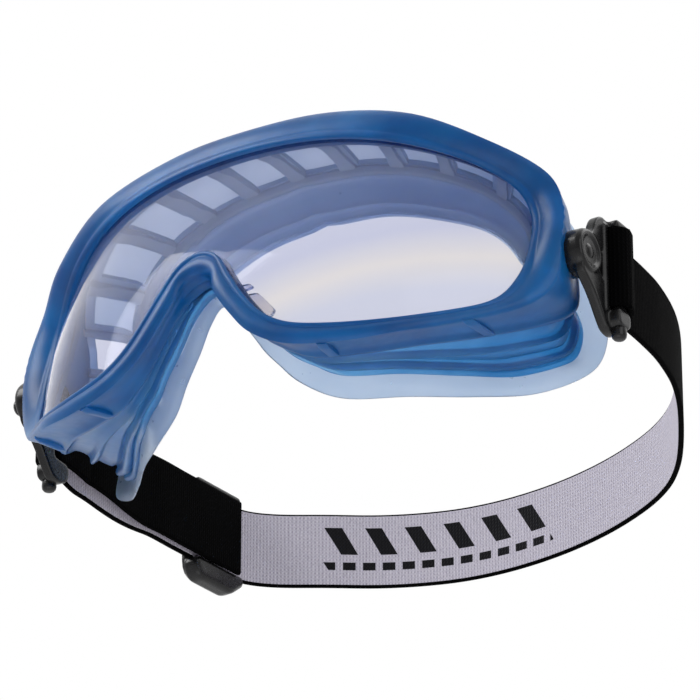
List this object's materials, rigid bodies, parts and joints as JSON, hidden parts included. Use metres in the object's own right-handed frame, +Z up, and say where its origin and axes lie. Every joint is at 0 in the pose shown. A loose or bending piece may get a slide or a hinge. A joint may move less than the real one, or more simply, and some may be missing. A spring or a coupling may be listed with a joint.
{
  "type": "safety goggles",
  "caption": "Wide wrap-round safety goggles: a clear lens in a soft vented body with a flared face seal, held by an elastic headband on swivelling side clips.",
  "frame": {"origin": "middle of the face seal, where a wearer's face holds the goggles", "axes": "+X towards the wearer's left, +Y back towards the wearer's head, +Z up when worn"},
  "size_m": [0.1676, 0.1691, 0.0816],
  "materials": {
    "body_rubber": "smooth translucent blue, satin",
    "seal_rubber": "thin pale blue, satin",
    "clear_lens": "clear polycarbonate, polished",
    "black_plastic": "moulded, semi-gloss",
    "woven_elastic": "ribbed woven elastic"
  },
  "bodies": {
    "goggles": {"front_rim": "body_rubber", "lens": "clear_lens", "skirt": "body_rubber", "brow_vent_cover": "body_rubber", "face_seal": "seal_rubber", "left_pivot_pin": "black_plastic", "right_pivot_pin": "black_plastic"},
    "strap": {"headband": "woven_elastic"},
    "left_clip": {"left_strap_clip": "black_plastic", "left_strap_bar": "black_plastic"},
    "right_clip": {"right_strap_clip": "black_plastic", "right_strap_bar": "black_plastic"},
    "slider": {"slider": "black_plastic"}
  },
  "joints": [
    {"name": "strap_swing", "type": "hinge", "parent": "goggles", "child": "strap", "pos_m": [0, -0.0108, -0.003], "axis": [1, 0, 0], "range_deg": [-25, 45]},
    {"name": "left_clip_pivot", "type": "hinge", "parent": "goggles", "child": "left_clip", "pos_m": [0.0765, -0.0108, -0.003], "axis": [1, 0, 0], "range_deg": [-25, 45]},
    {"name": "right_clip_pivot", "type": "hinge", "parent": "goggles", "child": "right_clip", "pos_m": [-0.0765, -0.0108, -0.003], "axis": [1, 0, 0], "range_deg": [-25, 45]},
    {"name": "slider_slide", "type": "slide", "parent": "strap", "child": "slider", "axis": [0.0866, 0.9962, 0], "range_m": [-0.018, 0]}
  ],
  "couplings": [
    {"joint": "left_clip_pivot", "follows": "strap_swing", "ratio": 1},
    {"joint": "right_clip_pivot", "follows": "strap_swing", "ratio": 1}
  ]
}
